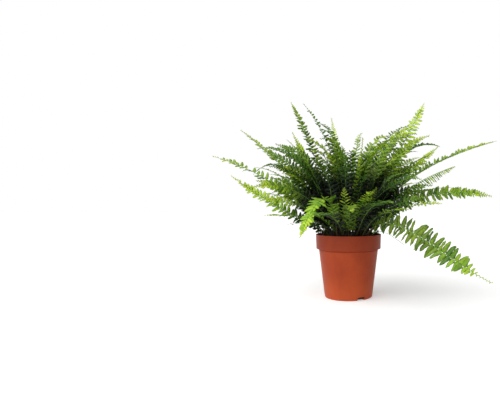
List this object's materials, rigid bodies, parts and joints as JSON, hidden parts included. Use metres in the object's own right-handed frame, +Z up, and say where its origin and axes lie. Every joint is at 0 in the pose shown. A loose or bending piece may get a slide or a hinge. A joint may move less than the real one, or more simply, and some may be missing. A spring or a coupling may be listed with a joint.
{
  "type": "potted boston fern",
  "caption": "Bushy fern with arching, toothed-looking fronds of small leaflets, standing in dark soil in a round tapered terracotta-brown plastic pot with a tall collar.",
  "frame": {"origin": "centre of the pot's flat underside, on the pot's axis", "axes": "+Z up along the pot's axis, -Y towards the front as pictured, +X to the right"},
  "size_m": [0.524, 0.4499, 0.3603],
  "materials": {
    "pot": "satin",
    "soil": "matte",
    "frond_deep": "satin",
    "frond_leaf": "satin",
    "frond_fresh": "satin"
  },
  "bodies": {
    "root": {"pot": "pot", "soil": "soil", "frond_01": "frond_leaf", "frond_02": "frond_leaf", "frond_03": "frond_leaf", "frond_04": "frond_fresh", "frond_05": "frond_leaf", "frond_06": "frond_leaf", "frond_07": "frond_leaf", "frond_08": "frond_fresh", "frond_09": "frond_deep", "frond_10": "frond_deep", "frond_11": "frond_deep", "frond_12": "frond_fresh", "frond_13": "frond_deep", "frond_14": "frond_fresh", "frond_15": "frond_deep", "frond_16": "frond_fresh", "frond_17": "frond_leaf", "frond_18": "frond_leaf", "frond_19": "frond_leaf", "frond_20": "frond_fresh", "frond_21": "frond_fresh", "frond_22": "frond_leaf", "frond_23": "frond_fresh", "frond_24": "frond_leaf", "frond_25": "frond_deep", "frond_26": "frond_fresh", "frond_27": "frond_fresh", "frond_28": "frond_deep", "frond_29": "frond_deep", "frond_30": "frond_leaf", "frond_31": "frond_leaf", "frond_32": "frond_deep", "frond_33": "frond_deep", "frond_34": "frond_deep", "frond_35": "frond_leaf", "frond_36": "frond_deep", "frond_37": "frond_deep", "frond_38": "frond_leaf", "frond_39": "frond_fresh", "frond_40": "frond_leaf", "frond_41": "frond_leaf", "frond_42": "frond_deep", "frond_43": "frond_leaf", "frond_44": "frond_deep", "frond_45": "frond_leaf", "frond_46": "frond_deep", "frond_47": "frond_deep", "frond_48": "frond_leaf", "frond_49": "frond_deep", "frond_50": "frond_deep", "frond_51": "frond_leaf", "frond_52": "frond_leaf", "frond_53": "frond_fresh", "frond_54": "frond_leaf", "frond_55": "frond_leaf", "frond_56": "frond_deep", "frond_57": "frond_leaf", "frond_58": "frond_fresh"}
  },
  "joints": []
}
